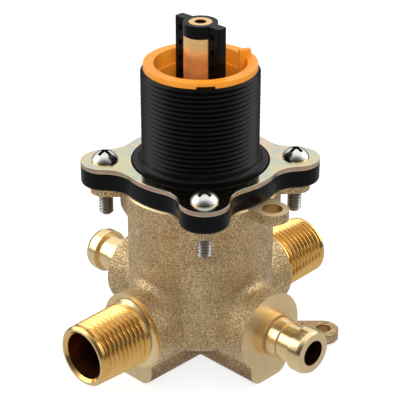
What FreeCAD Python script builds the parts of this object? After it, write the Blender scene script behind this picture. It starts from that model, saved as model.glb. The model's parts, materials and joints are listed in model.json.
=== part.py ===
import FreeCAD, Part

import math
import operator
import os

import Sketcher

# Tub and shower rough-in valve: a cast body with four ports, a pressure balancing cartridge,
# a threaded bonnet under a clamping plate, and a stem that turns about +Z.
# Millimetres; the origin is at the centre of the base, under the stem; inlets lie along X, outlets along Y.

SIZES = {
    # Cast body
    "port_axis_height": 18.3,
    "column_radius": 24.5,
    "column_bottom": 10.0,
    "column_bevel": 2.6,
    "rim_top": 63.3,
    "rim_radius": 26.8,
    "rim_height": 7.0,
    "rim_edge": 0.5,
    "flare_height": 4.4,
    "boss_radius": 13.7,
    "foot_half_width": 8.8,
    "foot_corner_radius": 5.0,
    "cast_blend": 3.0,
    "root_overlap": 3.0,
    "outlet_face": 32.0,
    "inlet_face": 32.6,
    # Threaded outlet nipples with a solder socket inside
    "nipple_end": 54.4,
    "nipple_end_radius": 10.4,
    "nipple_taper": 0.03125,
    "nipple_chamfer": 0.8,
    "nipple_collar_radius": 13.0,
    "nipple_collar_cone": 1.5,
    "nipple_relief_radius": 10.2,
    "nipple_relief_width": 1.2,
    "pipe_pitch": 1.814,
    "pipe_crest": 0.25,
    "pipe_thread_depth": 0.9,
    "socket_radius": 8.0,
    "socket_depth": 13.0,
    "socket_mouth": 0.9,
    "outlet_bore_radius": 6.4,
    # Barbed inlets
    "barb_end": 51.4,
    "barb_collar_radius": 7.7,
    "barb_collar_length": 3.5,
    "barb_groove_radius": 6.2,
    "barb_groove_width": 0.65,
    "barb_land_radius": 7.0,
    "barb_land_length": 3.85,
    "barb_neck_radius": 6.4,
    "barb_rib_radius": 7.7,
    "barb_rib_length": 4.8,
    "barb_tip_length": 1.6,
    "barb_tip_radius": 7.0,
    "inlet_bore_radius": 4.4,
    # Cartridge cavity and the wells that feed it
    "cavity_radius": 20.0,
    "cavity_floor": 30.0,
    "cavity_mouth": 0.8,
    "inlet_well_margin": 7.5,
    "inlet_well_radius": 4.0,
    "outlet_well_margin": 8.5,
    "outlet_well_radius": 4.2,
    # Lugs and ears on the casting
    "screw_circle_radius": 31.5,
    "lug_radius": 5.1,
    "lug_thickness": 3.4,
    "upper_ear_offset": 31.3,
    "upper_ear_radius": 5.4,
    "upper_ear_thickness": 3.4,
    "upper_ear_hole_radius": 3.3,
    "lower_ear_offset": 43.0,
    "lower_ear_radius": 5.3,
    "lower_ear_bottom": 1.9,
    "lower_ear_thickness": 3.4,
    "lower_ear_hole_radius": 2.6,
    # Bonnet: lobed flange and threaded sleeve
    "plate_waist_radius": 26.8,
    "lobe_radius": 8.1,
    "lobe_blend": 10.0,
    "flange_thickness": 6.3,
    "flange_round": 1.2,
    "spigot_depth": 1.0,
    "spigot_clearance": 0.3,
    "bonnet_web": 3.0,
    "sleeve_wall": 2.9,
    "sleeve_top": 103.3,
    "sleeve_lead": 1.0,
    "sleeve_lead_drop": 0.8,
    "skirt_width": 3.0,
    "skirt_round": 2.1,
    "skirt_top": 73.6,
    "thread_pitch": 1.5875,
    "thread_depth": 0.85,
    # Clamping plate and its screws
    "plate_thickness": 1.7,
    "plate_hole_clearance": 0.4,
    "screw_radius": 2.4,
    "screw_clearance": 0.25,
    "tapped_clearance": 0.05,
    "screw_tip": 51.7,
    "screw_point": 0.8,
    "screw_head_radius": 4.45,
    "screw_head_height": 3.2,
    "screw_head_edge": 0.5,
    "recess_length": 5.4,
    "recess_width": 1.3,
    "recess_depth": 1.7,
    # Cartridge
    "seal_gap": 0.8,
    "housing_clearance": 0.3,
    "housing_block": 15.2,
    "housing_wall": 3.2,
    "seal_recess": 1.0,
    "seal_wall": 1.4,
    "seal_clearance": 0.2,
    "ring_groove_depth": 1.8,
    "ring_groove_width": 2.8,
    "ring_groove_drop": 5.0,
    "ring_clearance": 0.05,
    "spool_axis_rise": 7.8,
    "sleeve_seat_radius": 5.5,
    "seat_clearance": 0.05,
    "balance_sleeve_wall": 1.45,
    "balance_sleeve_half": 14.5,
    "sleeve_port_radius": 1.9,
    "sleeve_inlet_offset": 10.6,
    "disc_inlet_offset": 6.5,
    "disc_inlet_radius": 2.2,
    "running_clearance": 0.05,
    "spool_half": 11.0,
    "spool_end_land": 3.0,
    "spool_middle_land": 2.5,
    "spool_waist_radius": 2.4,
    "plug_length": 3.0,
    "plug_spigot_length": 1.5,
    # Ceramic discs and drive
    "disc_clearance": 0.3,
    "gasket_thickness": 1.2,
    "fixed_disc_thickness": 3.6,
    "film_gap": 0.05,
    "moving_disc_gap": 0.7,
    "moving_disc_thickness": 3.4,
    "channel_wall": 1.2,
    "channel_width": 6.2,
    "disc_recess_depth": 1.6,
    "recess_slot_reach": 3.8,
    "recess_slot_width": 5.0,
    "peg_offset": 9.0,
    "peg_radius": 1.5,
    "peg_length": 1.3,
    "peg_clearance": 0.1,
    "carrier_gap": 0.4,
    "carrier_thickness": 2.6,
    "washer_thickness": 0.8,
    "washer_clearance": 0.6,
    "cap_thickness": 3.0,
    "cap_neck_radius": 9.0,
    "cap_neck_length": 8.0,
    "cap_neck_clearance": 0.6,
    # Stem
    "stem_top": 118.9,
    "tang_width": 7.0,
    "tang_clearance": 0.1,
    "tang_length": 2.4,
    "stem_flange_radius": 11.0,
    "stem_flange_thickness": 1.6,
    "stem_radius": 6.0,
    "stem_shaft_length": 16.0,
    "core_radius": 5.5,
    "core_top_radius": 3.8,
    "handle_screw_radius": 1.9,
    "handle_screw_depth": 14.0,
    "stem_groove_radius": 4.4,
    "stem_groove_width": 2.0,
    "stem_groove_offset": 5.0,
    "stem_groove_spacing": 3.4,
    "wing_half_length": 9.9,
    "wing_thickness": 3.6,
    "wing_corner": 0.7,
    "wing_pocket_offset": 7.2,
    "wing_pocket_width": 1.6,
    "wing_pocket_height": 1.8,
    "wing_pocket_depth": 0.6,
    "wing_pocket_drop": 2.4,
    "wing_pocket_spacing": 5.1,
    "cap_ring_radius": 5.6,
    "cap_ring_height": 4.2,
    "hub_radius": 7.4,
    "hub_top": 92.0,
    "stop_finger_clearance": 0.5,
    "stop_finger_width": 4.0,
    "stop_finger_height": 4.0,
    # Temperature limit ring
    "limit_rim_inset": 1.0,
    "limit_rim_thickness": 1.8,
    "limit_skirt_wall": 2.0,
    "limit_skirt_clearance": 0.3,
    "limit_skirt_depth": 15.0,
    "limit_step_depth": 5.2,
    "limit_step_radius": 14.3,
    "limit_step_width": 0.8,
    "limit_tab_height": 1.3,
    "limit_grip_length": 3.8,
    "limit_tab_width": 2.0,
    "limit_tab_rise": 2.8,
    "limit_notch_width": 5.9,
    "limit_notch_height": 0.8,
}

# Directions, in degrees about +Z from +X
DIAGONAL = 45.0
HEAD_TURN = 2.0
SCREW_ANGLE = DIAGONAL + HEAD_TURN
STOP_TAB_ANGLE = 62.0
STOP_FINGER_ANGLE = -164.0
NOTCH_ANGLE = -40.0

SCREW_COUNT = 4
WING_POCKET_COUNT = 4

# Step used to feel on which side of an edge the solid lies
PROBE = 0.02

OPERATIONS = {
    "+": operator.add,
    "-": operator.sub,
    "*": operator.mul,
    "/": operator.truediv,
}


class Size:
    """A length that keeps its number together with the sheet formula that gives it."""

    def __init__(self, value, formula):
        self.value = value
        self.formula = formula

    def __add__(self, other):
        return combine(self, "+", other)

    def __sub__(self, other):
        return combine(self, "-", other)

    def __rsub__(self, other):
        return combine(other, "-", self)

    def __mul__(self, other):
        return combine(self, "*", other)

    def __truediv__(self, other):
        return combine(self, "/", other)

    def __neg__(self):
        return combine(0, "-", self)


def as_size(number):
    if isinstance(number, Size):
        return number
    return Size(float(number), str(number))


def combine(left, sign, right):
    left = as_size(left)
    right = as_size(right)
    value = OPERATIONS[sign](left.value, right.value)
    return Size(value, f"({left.formula} {sign} {right.formula})")


def root(square):
    return Size(math.sqrt(square.value), f"sqrt({square.formula})")


def whole(size):
    """The number of whole units in a size."""
    return Size(math.floor(size.value), f"floor({size.formula})")


class Sheet:
    """The driving dimensions, each read as a Size by its alias."""

    def __init__(self, document):
        self.cells = document.addObject("Spreadsheet::Sheet", "sizes")
        for row, (alias, value) in enumerate(SIZES.items(), start=1):
            self.cells.set(f"A{row}", alias)
            self.cells.set(f"B{row}", str(value))
            self.cells.setAlias(f"B{row}", alias)
        document.recompute()

    def __getattr__(self, alias):
        return Size(float(getattr(self.cells, alias)), f"sizes.{alias}")


doc = FreeCAD.newDocument("rough_in_valve")
s = Sheet(doc)


# Sketches

def bind(thing, name, size):
    thing.setExpression(name, as_size(size).formula)


def sketch_on(body, name, role, lift=0, shift=0, turn=0.0, turn_axis=(0, 0, 1)):
    """A sketch on one of the body's own planes, lifted along its normal and shifted along its y."""
    sketch = body.newObject("Sketcher::SketchObject", name)
    plane = next(feature for feature in body.Origin.OriginFeatures if feature.Role == role)
    sketch.AttachmentSupport = [(plane, "")]
    sketch.MapMode = "FlatFace"
    rotation = FreeCAD.Rotation(FreeCAD.Vector(*turn_axis), turn)
    sketch.AttachmentOffset = FreeCAD.Placement(FreeCAD.Vector(), rotation)
    bind(sketch, "AttachmentOffset.Base.z", lift)
    bind(sketch, "AttachmentOffset.Base.y", shift)
    return sketch


def constrain(sketch, kind, size, *where):
    size = as_size(size)
    index = sketch.addConstraint(Sketcher.Constraint(kind, *where, size.value))
    bind(sketch, f"Constraints[{index}]", size)


def vector(point):
    return FreeCAD.Vector(as_size(point[0]).value, as_size(point[1]).value, 0)


def arc_edge(start, end, centre, radius):
    """A counter-clockwise arc from start to end."""
    middle = vector(centre)
    first = vector(start) - middle
    last = vector(end) - middle
    begin = math.atan2(first.y, first.x)
    finish = math.atan2(last.y, last.x)
    if finish <= begin:
        finish += 2 * math.pi
    circle = Part.Circle(middle, FreeCAD.Vector(0, 0, 1), as_size(radius).value)
    return Part.ArcOfCircle(circle, begin, finish)


def outline(sketch, points, arcs=None):
    """A closed outline; arcs maps the index of a side to the (centre, radius) that it turns about."""
    arcs = arcs or {}
    count = len(points)
    first = sketch.GeometryCount
    for side in range(count):
        start = points[side]
        end = points[(side + 1) % count]
        if side in arcs:
            sketch.addGeometry(arc_edge(start, end, *arcs[side]), False)
        else:
            sketch.addGeometry(Part.LineSegment(vector(start), vector(end)), False)
    for side in range(count):
        following = first + (side + 1) % count
        sketch.addConstraint(Sketcher.Constraint("Coincident", first + side, 2, following, 1))
    for side, (centre, radius) in arcs.items():
        constrain(sketch, "DistanceX", centre[0], -1, 1, first + side, 3)
        constrain(sketch, "DistanceY", centre[1], -1, 1, first + side, 3)
        constrain(sketch, "Radius", radius, first + side)
    for corner in range(count):
        arc = arcs.get(corner) or arcs.get((corner - 1) % count)
        for axis in free_axes(points[corner], arc):
            kind = ("DistanceX", "DistanceY")[axis]
            constrain(sketch, kind, points[corner][axis], -1, 1, first + corner, 1)


def free_axes(point, arc):
    """A corner takes both coordinates, or on an arc only the one along which the arc runs."""
    if arc is None:
        return (0, 1)
    offset = vector(point) - vector(arc[0])
    return (1,) if abs(offset.x) > abs(offset.y) else (0,)


def circle(sketch, x, y, radius):
    index = sketch.addGeometry(
        Part.Circle(vector((x, y)), FreeCAD.Vector(0, 0, 1), as_size(radius).value), False
    )
    constrain(sketch, "DistanceX", x, -1, 1, index, 3)
    constrain(sketch, "DistanceY", y, -1, 1, index, 3)
    constrain(sketch, "Radius", radius, index)


def rectangle(sketch, left, bottom, right, top):
    outline(sketch, [(left, bottom), (right, bottom), (right, top), (left, top)])


def tongue(sketch, inner, reach, radius):
    """A tongue along the sketch's x, from inner to a round end about (reach, 0)."""
    points = [(inner, -radius), (reach, -radius), (reach, radius), (inner, radius)]
    outline(sketch, points, {1: ((reach, 0), radius)})


# Features

def new_body(label):
    body = doc.addObject("PartDesign::Body", label)
    body.Label = label
    return body


def settle(body, feature):
    """Recompute, and stop if the feature failed or left the solid as it was."""
    before = body.Tip.Shape.Volume if body.Tip else 0.0
    body.Tip = feature
    doc.recompute()
    if "Invalid" in feature.State or "Error" in feature.State:
        raise RuntimeError(f"{body.Label}: {feature.Name} failed")
    if abs(feature.Shape.Volume - before) < 1e-6:
        raise RuntimeError(f"{body.Label}: {feature.Name} changed nothing")
    return feature


def add(body, kind, name, sketch, **settings):
    previous = body.Tip
    feature = body.newObject(kind, name)
    feature.Profile = sketch
    for key, value in settings.items():
        if isinstance(value, Size):
            bind(feature, key, value)
        else:
            setattr(feature, key, value)
    body.Tip = previous
    return settle(body, feature)


def revolve(body, sketch, axis="V_Axis"):
    return add(body, "PartDesign::Revolution", f"{sketch.Name}_turn", sketch,
               ReferenceAxis=(sketch, [axis]), Angle=360.0)


def groove(body, sketch, axis="V_Axis"):
    return add(body, "PartDesign::Groove", f"{sketch.Name}_cut", sketch,
               ReferenceAxis=(sketch, [axis]), Angle=360.0)


def pad(body, sketch, length, **settings):
    return add(body, "PartDesign::Pad", f"{sketch.Name}_pad", sketch, Length=as_size(length), **settings)


def pocket(body, sketch, length, **settings):
    return add(body, "PartDesign::Pocket", f"{sketch.Name}_pocket", sketch,
               Length=as_size(length), **settings)


def pattern(body, features, count):
    """Copies of features turned about the body's Z axis."""
    previous = body.Tip
    name = f"{features[0].Name}_round"
    turned_copies = body.newObject("PartDesign::PolarPattern", name)
    turned_copies.Originals = features
    axis = next(item for item in body.Origin.OriginFeatures if item.Role == "Z_Axis")
    turned_copies.Axis = (axis, [""])
    turned_copies.Angle = 360.0
    turned_copies.Occurrences = count
    body.Tip = previous
    return settle(body, turned_copies)


def blend(body, name, radius, wanted):
    """A fillet on the edges of the body that wanted(edge) picks."""
    base = body.Tip
    edges = [f"Edge{number}" for number, edge in enumerate(base.Shape.Edges, start=1) if wanted(edge)]
    fillet = body.newObject("PartDesign::Fillet", name)
    fillet.Base = (base, edges)
    bind(fillet, "Radius", radius)
    body.Tip = base
    return settle(body, fillet)


def turned(label, points, axis_role="XZ_Plane", axis="V_Axis", shift=0):
    """A piece turned from one profile of (radius, height) or (length, radius) points."""
    body = new_body(label)
    profile = sketch_on(body, f"{label}_profile", axis_role, shift=shift)
    outline(profile, points)
    revolve(body, profile, axis)
    return body


def middle_of(edge):
    return edge.valueAt((edge.FirstParameter + edge.LastParameter) / 2)


def is_upright(edge):
    """True for a straight edge along Z."""
    if edge.Curve.TypeId != "Part::GeomLine":
        return False
    return abs(edge.tangentAt(edge.FirstParameter).z) > 0.999


def is_concave(shape, edge):
    """True where the two faces meet in an inner corner."""
    faces = shape.ancestorsOfType(edge, Part.Face)
    if len(faces) < 2:
        return False
    point = middle_of(edge)
    one, other = [face.normalAt(*face.Surface.parameter(point)) for face in faces[:2]]
    across = one - other
    if across.Length < PROBE:
        return False
    return shape.isInside(point + across.normalize() * PROBE, PROBE / 100, False)


# Cast body

def arm(body, name, role, length):
    """One straight arm through the column: round above, with a flat foot below."""
    drop = s.port_axis_height
    half = s.foot_half_width
    corner = s.foot_corner_radius
    shoulder = root(s.boss_radius * s.boss_radius - half * half)
    sketch = sketch_on(body, name, role, shift=drop)
    points = [
        (half, -shoulder),
        (-half, -shoulder),
        (-half, corner - drop),
        (corner - half, -drop),
        (half - corner, -drop),
        (half, corner - drop),
    ]
    arcs = {
        0: ((0, 0), s.boss_radius),
        2: ((corner - half, corner - drop), corner),
        4: ((half - corner, corner - drop), corner),
    }
    outline(sketch, points, arcs)
    return pad(body, sketch, length * 2, Midplane=True)


def nipple_profile(side):
    """Half section of one outlet along Y, from inside the boss out to the end face."""
    relief_start = s.outlet_face + s.nipple_collar_cone
    thread_start = relief_start + s.nipple_relief_width
    points = [
        (s.outlet_face - s.root_overlap, 0),
        (s.outlet_face - s.root_overlap, s.nipple_collar_radius),
        (s.outlet_face, s.nipple_collar_radius),
        (relief_start, s.nipple_relief_radius),
        (thread_start, s.nipple_relief_radius),
    ]
    points += pipe_thread(thread_start)
    points += [
        (s.nipple_end - s.nipple_chamfer, s.nipple_end_radius),
        (s.nipple_end, s.nipple_end_radius - s.nipple_chamfer),
        (s.nipple_end, 0),
    ]
    return [(along * side, radius) for along, radius in points]


def pipe_thread(start):
    """Ring grooves at the pipe thread's pitch, on its taper."""
    def on_taper(along):
        return s.nipple_end_radius + (s.nipple_end - s.nipple_chamfer - along) * s.nipple_taper

    points = []
    turns = whole((s.nipple_end - s.nipple_chamfer - start) / s.pipe_pitch)
    for number in range(turns.value):
        crest_start = start + s.pipe_pitch * number
        crest_end = crest_start + s.pipe_crest
        bottom = crest_end + (s.pipe_pitch - s.pipe_crest) / 2
        points.append((crest_start, on_taper(crest_start)))
        points.append((crest_end, on_taper(crest_end)))
        points.append((bottom, on_taper(bottom) - s.pipe_thread_depth))
    last = start + s.pipe_pitch * turns.value
    points.append((last, on_taper(last)))
    return points


def barb_profile(side):
    """Half section of one barbed inlet along X: collar, groove, land, neck and end rib."""
    collar_end = s.inlet_face + s.barb_collar_length
    groove_end = collar_end + s.barb_groove_width
    land_end = groove_end + s.barb_land_length
    rib_start = s.barb_end - s.barb_rib_length
    points = [
        (s.inlet_face - s.root_overlap, 0),
        (s.inlet_face - s.root_overlap, s.barb_collar_radius),
        (collar_end, s.barb_collar_radius),
        (collar_end, s.barb_groove_radius),
        (groove_end, s.barb_groove_radius),
        (groove_end, s.barb_land_radius),
        (land_end, s.barb_land_radius),
        (land_end, s.barb_neck_radius),
        (rib_start, s.barb_neck_radius),
        (rib_start, s.barb_rib_radius),
        (s.barb_end - s.barb_tip_length, s.barb_rib_radius),
        (s.barb_end, s.barb_tip_radius),
        (s.barb_end, 0),
    ]
    return [(along * side, radius) for along, radius in points]


def valve_body():
    body = new_body("valve_body")
    rim_bottom = s.rim_top - s.rim_height
    column = sketch_on(body, "column", "XZ_Plane")
    outline(column, [
        (0, s.column_bottom),
        (s.column_radius - s.column_bevel, s.column_bottom),
        (s.column_radius, s.column_bottom + s.column_bevel),
        (s.column_radius, rim_bottom - s.flare_height),
        (s.rim_radius, rim_bottom),
        (s.rim_radius, s.rim_top - s.rim_edge),
        (s.rim_radius - s.rim_edge, s.rim_top),
        (0, s.rim_top),
    ])
    revolve(body, column)
    arm(body, "outlet_arm", "XZ_Plane", s.outlet_face)
    arm(body, "inlet_arm", "YZ_Plane", s.inlet_face)
    blend_arms(body, rim_bottom - s.flare_height)
    body_lugs(body)
    body_ears(body)
    for side, name in ((1, "shower_nipple"), (-1, "tub_nipple")):
        nipple = sketch_on(body, name, "YZ_Plane", shift=s.port_axis_height)
        outline(nipple, nipple_profile(side))
        revolve(body, nipple, "H_Axis")
    for side, name in ((1, "cold_barb"), (-1, "hot_barb")):
        barb = sketch_on(body, name, "XZ_Plane", shift=s.port_axis_height)
        outline(barb, barb_profile(side))
        revolve(body, barb, "H_Axis")
    body_bores(body)
    return body


def blend_arms(body, top):
    """Round the inner corners where the arms leave the column's side."""
    shape = body.Tip.Shape
    low = (s.column_bottom + s.column_bevel).value

    def on_the_side(edge):
        middle = middle_of(edge)
        on_column = abs(math.hypot(middle.x, middle.y) - s.column_radius.value) < PROBE
        return on_column and low < middle.z < top.value - PROBE and is_concave(shape, edge)

    blend(body, "cast_blends", s.cast_blend, on_the_side)


def body_lugs(body):
    """Four lugs for the cover screws."""
    inner = s.column_radius - s.root_overlap
    lug_bottom = s.rim_top - s.lug_thickness
    lug = sketch_on(body, "lug", "XY_Plane", lift=lug_bottom, turn=SCREW_ANGLE)
    tongue(lug, inner, s.screw_circle_radius, s.lug_radius)
    lug_pad = pad(body, lug, s.lug_thickness)
    pattern(body, [lug_pad], SCREW_COUNT)


def body_ears(body):
    """Two ears at the rim over the inlets and one near the base on the diagonal, each with a plain hole."""
    inner = s.column_radius - s.root_overlap
    upper = sketch_on(body, "upper_ear", "XY_Plane", turn=HEAD_TURN,
                      lift=s.rim_top - s.upper_ear_thickness)
    tongue(upper, inner, s.upper_ear_offset, s.upper_ear_radius)
    upper_pad = pad(body, upper, s.upper_ear_thickness)
    pattern(body, [upper_pad], 2)
    lower = sketch_on(body, "lower_ear", "XY_Plane", lift=s.lower_ear_bottom, turn=DIAGONAL)
    tongue(lower, s.foot_half_width, s.lower_ear_offset, s.lower_ear_radius)
    pad(body, lower, s.lower_ear_thickness)
    holes = sketch_on(body, "upper_ear_holes", "XY_Plane", lift=s.rim_top, turn=HEAD_TURN)
    for side in (1, -1):
        circle(holes, s.upper_ear_offset * side, 0, s.upper_ear_hole_radius)
    pocket(body, holes, s.upper_ear_thickness)
    hole = sketch_on(body, "lower_ear_hole", "XY_Plane", turn=DIAGONAL,
                     lift=s.lower_ear_bottom + s.lower_ear_thickness)
    circle(hole, s.lower_ear_offset, 0, s.lower_ear_hole_radius)
    pocket(body, hole, s.lower_ear_thickness)


def body_bores(body):
    """The cavity, the two crossing ways through the ports, the wells between them, and the tapped holes."""
    cavity = sketch_on(body, "cavity", "XZ_Plane")
    outline(cavity, [
        (0, s.cavity_floor),
        (s.cavity_radius, s.cavity_floor),
        (s.cavity_radius, s.rim_top - s.cavity_mouth),
        (s.cavity_radius + s.cavity_mouth, s.rim_top),
        (0, s.rim_top),
    ])
    groove(body, cavity)
    outlet = sketch_on(body, "outlet_way", "YZ_Plane", shift=s.port_axis_height)
    socket_end = s.nipple_end - s.socket_depth
    half = [
        (s.nipple_end, s.socket_radius + s.socket_mouth),
        (s.nipple_end - s.socket_mouth, s.socket_radius),
        (socket_end, s.socket_radius),
        (socket_end, s.outlet_bore_radius),
    ]
    mirrored = [(-along, radius) for along, radius in reversed(half)]
    outline(outlet, [(s.nipple_end, 0)] + half + mirrored + [(-s.nipple_end, 0)])
    groove(body, outlet, "H_Axis")
    for side, name in ((1, "cold"), (-1, "hot")):
        inlet = sketch_on(body, f"{name}_inlet_way", "XZ_Plane", shift=s.port_axis_height)
        outline(inlet, [
            (s.barb_end * side, 0),
            (s.barb_end * side, s.inlet_bore_radius),
            (inlet_well_offset * side, s.inlet_bore_radius),
            (inlet_well_offset * side, 0),
        ])
        groove(body, inlet, "H_Axis")
    wells = sketch_on(body, "wells", "XY_Plane", lift=s.cavity_floor)
    for side in (1, -1):
        circle(wells, inlet_well_offset * side, 0, s.inlet_well_radius)
    circle(wells, 0, outlet_well_offset, s.outlet_well_radius)
    pocket(body, wells, s.cavity_floor - s.port_axis_height)
    tapped = sketch_on(body, "tapped_hole", "XY_Plane", lift=s.rim_top, turn=SCREW_ANGLE)
    circle(tapped, s.screw_circle_radius, 0, s.screw_radius + s.tapped_clearance)
    tapped_pocket = pocket(body, tapped, s.lug_thickness)
    pattern(body, [tapped_pocket], SCREW_COUNT)


# Radii from the limit ring's step outwards to the sleeve and the plate, and inwards to the stops

limit_bore_radius = s.limit_step_radius + s.limit_step_width
limit_skirt_radius = s.limit_step_radius + s.limit_skirt_wall
sleeve_bore_radius = limit_skirt_radius + s.limit_skirt_clearance
sleeve_radius = sleeve_bore_radius + s.sleeve_wall
sleeve_lead_radius = sleeve_radius - s.sleeve_lead_drop
limit_ring_radius = sleeve_radius - s.limit_rim_inset
skirt_radius = sleeve_radius + s.skirt_width
plate_hole_radius = skirt_radius + s.plate_hole_clearance
limit_tab_reach = s.limit_step_radius - s.limit_tab_height
stop_finger_reach = s.limit_step_radius - s.stop_finger_clearance


# Bonnet, clamping plate and screws

def lobed(body, name, bottom, thickness, waist):
    """Lobes for the four screws round a disc of radius waist, with hollow blends between."""
    lobe = sketch_on(body, f"{name}_lobe", "XY_Plane", lift=bottom, turn=SCREW_ANGLE)
    circle(lobe, s.screw_circle_radius, 0, s.lobe_radius)
    lobe_pad = pad(body, lobe, thickness)
    pattern(body, [lobe_pad], SCREW_COUNT)
    low = bottom.value
    high = low + thickness.value

    def at_the_waist(edge):
        middle = middle_of(edge)
        near = abs(math.hypot(middle.x, middle.y) - waist.value) < PROBE
        return near and is_upright(edge) and low < middle.z < high

    blend(body, f"{name}_blends", s.lobe_blend, at_the_waist)


def screw_holes(body, top, depth):
    holes = sketch_on(body, f"{body.Label}_screw_hole", "XY_Plane", lift=top, turn=SCREW_ANGLE)
    circle(holes, s.screw_circle_radius, 0, s.screw_radius + s.screw_clearance)
    hole = pocket(body, holes, depth)
    pattern(body, [hole], SCREW_COUNT)


def bonnet():
    body = new_body("bonnet")
    flange_top = s.rim_top + s.flange_thickness
    disc = sketch_on(body, "flange_disc", "XY_Plane", lift=s.rim_top)
    circle(disc, 0, 0, s.plate_waist_radius)
    pad(body, disc, s.flange_thickness)
    lobed(body, "flange", s.rim_top, s.flange_thickness, s.plate_waist_radius)

    def on_the_underside(edge):
        return abs(middle_of(edge).z - s.rim_top.value) < PROBE and edge.BoundBox.ZLength < PROBE

    blend(body, "flange_underside", s.flange_round, on_the_underside)
    spigot_bottom = s.rim_top - s.spigot_depth
    hollow_radius = sleeve_radius + s.skirt_round
    column = sketch_on(body, "sleeve", "XZ_Plane")
    outline(column, [
        (0, s.sleeve_top),
        (sleeve_lead_radius, s.sleeve_top),
        (sleeve_radius, s.sleeve_top - s.sleeve_lead),
        (sleeve_radius, s.skirt_top),
        (hollow_radius, s.skirt_top - s.skirt_round),
        (skirt_radius, s.skirt_top - s.skirt_round),
        (skirt_radius, flange_top),
        (s.cavity_radius - s.spigot_clearance, flange_top),
        (s.cavity_radius - s.spigot_clearance, spigot_bottom),
        (0, spigot_bottom),
    ], {3: ((hollow_radius, s.skirt_top), s.skirt_round)})
    revolve(body, column)
    bore = sketch_on(body, "sleeve_bore", "XZ_Plane")
    web_top = s.rim_top + s.bonnet_web
    neck_hole = s.cap_neck_radius + s.cap_neck_clearance
    outline(bore, [
        (0, spigot_bottom),
        (neck_hole, spigot_bottom),
        (neck_hole, web_top),
        (sleeve_bore_radius, web_top),
        (sleeve_bore_radius, s.sleeve_top),
        (0, s.sleeve_top),
    ])
    groove(body, bore)
    screw_holes(body, flange_top, s.flange_thickness)
    sleeve_thread(body)
    return body


def sleeve_thread(body):
    """Ring grooves at the thread's pitch, from the lead-in down to the skirt."""
    top = s.sleeve_top - s.sleeve_lead
    cut = sketch_on(body, "thread_groove", "XZ_Plane")
    outline(cut, [
        (sleeve_radius, top),
        (sleeve_radius - s.thread_depth, top - s.thread_pitch / 2),
        (sleeve_radius, top - s.thread_pitch),
    ])
    first = groove(body, cut)
    previous = body.Tip
    rows = body.newObject("PartDesign::LinearPattern", "thread_rows")
    rows.Originals = [first]
    axis = next(item for item in body.Origin.OriginFeatures if item.Role == "Z_Axis")
    rows.Direction = (axis, [""])
    rows.Reversed = True
    rows.Mode = "Spacing"
    bind(rows, "Offset", s.thread_pitch)
    bind(rows, "Occurrences", whole((top - s.skirt_top) / s.thread_pitch))
    body.Tip = previous
    settle(body, rows)


def retainer_plate():
    body = new_body("retainer_plate")
    bottom = s.rim_top + s.flange_thickness
    disc = sketch_on(body, "plate_disc", "XY_Plane", lift=bottom)
    circle(disc, 0, 0, s.plate_waist_radius)
    pad(body, disc, s.plate_thickness)
    lobed(body, "plate", bottom, s.plate_thickness, s.plate_waist_radius)
    hole = sketch_on(body, "plate_hole", "XY_Plane", lift=bottom + s.plate_thickness)
    circle(hole, 0, 0, plate_hole_radius)
    pocket(body, hole, s.plate_thickness)
    screw_holes(body, bottom + s.plate_thickness, s.plate_thickness)
    return body


def cover_screws():
    """Four pan head screws with a cross recess whose arms stand between the radial directions."""
    body = new_body("cover_screws")
    body.AllowCompound = True
    seat = s.rim_top + s.flange_thickness + s.plate_thickness
    head_top = seat + s.screw_head_height
    crown = s.screw_head_height - s.screw_head_edge
    crown_radius = (s.screw_head_radius * s.screw_head_radius + crown * crown) / (crown * 2)
    profile = sketch_on(body, "screw_profile", "XZ_Plane", turn=SCREW_ANGLE, turn_axis=(0, 1, 0))
    axis = s.screw_circle_radius
    outline(profile, [
        (axis, s.screw_tip),
        (axis + s.screw_radius - s.screw_point, s.screw_tip),
        (axis + s.screw_radius, s.screw_tip + s.screw_point),
        (axis + s.screw_radius, seat),
        (axis + s.screw_head_radius - s.screw_head_edge, seat),
        (axis + s.screw_head_radius, seat + s.screw_head_edge),
        (axis, head_top),
    ], {5: ((axis, head_top - crown_radius), crown_radius)})
    shank = add(body, "PartDesign::Revolution", "screw_turn", profile,
                ReferenceAxis=(profile, ["Edge7"]), Angle=360.0)
    recess = sketch_on(body, "screw_recess", "XY_Plane", lift=head_top, turn=SCREW_ANGLE)
    slant = math.cos(math.radians(DIAGONAL))
    long = s.recess_length / 2 * slant
    wide = s.recess_width / 2 * slant
    corner = wide * 2
    outline(recess, [
        (axis + corner, 0),
        (axis + long + wide, long - wide),
        (axis + long - wide, long + wide),
        (axis, corner),
        (axis - long + wide, long + wide),
        (axis - long - wide, long - wide),
        (axis - corner, 0),
        (axis - long - wide, wide - long),
        (axis - long + wide, -(long + wide)),
        (axis, -corner),
        (axis + long - wide, -(long + wide)),
        (axis + long + wide, wide - long),
    ])
    cross = pocket(body, recess, s.recess_depth)
    pattern(body, [shank, cross], SCREW_COUNT)
    return body


# Heights of the cartridge stack, from the cavity floor up

housing_bottom = s.cavity_floor + s.seal_gap
disc_seat = housing_bottom + s.housing_block
fixed_disc_bottom = disc_seat + s.gasket_thickness
moving_disc_bottom = fixed_disc_bottom + s.fixed_disc_thickness + s.film_gap
carrier_bottom = moving_disc_bottom + s.moving_disc_thickness
stem_flange_bottom = carrier_bottom + s.carrier_thickness
washer_bottom = stem_flange_bottom + s.stem_flange_thickness + s.film_gap
cap_bottom = washer_bottom + s.washer_thickness
housing_top = cap_bottom + s.cap_thickness
spool_axis = housing_bottom + s.spool_axis_rise
shaft_top = stem_flange_bottom + s.stem_flange_thickness + s.stem_shaft_length

# Radii and well places that follow the cavity

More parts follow.
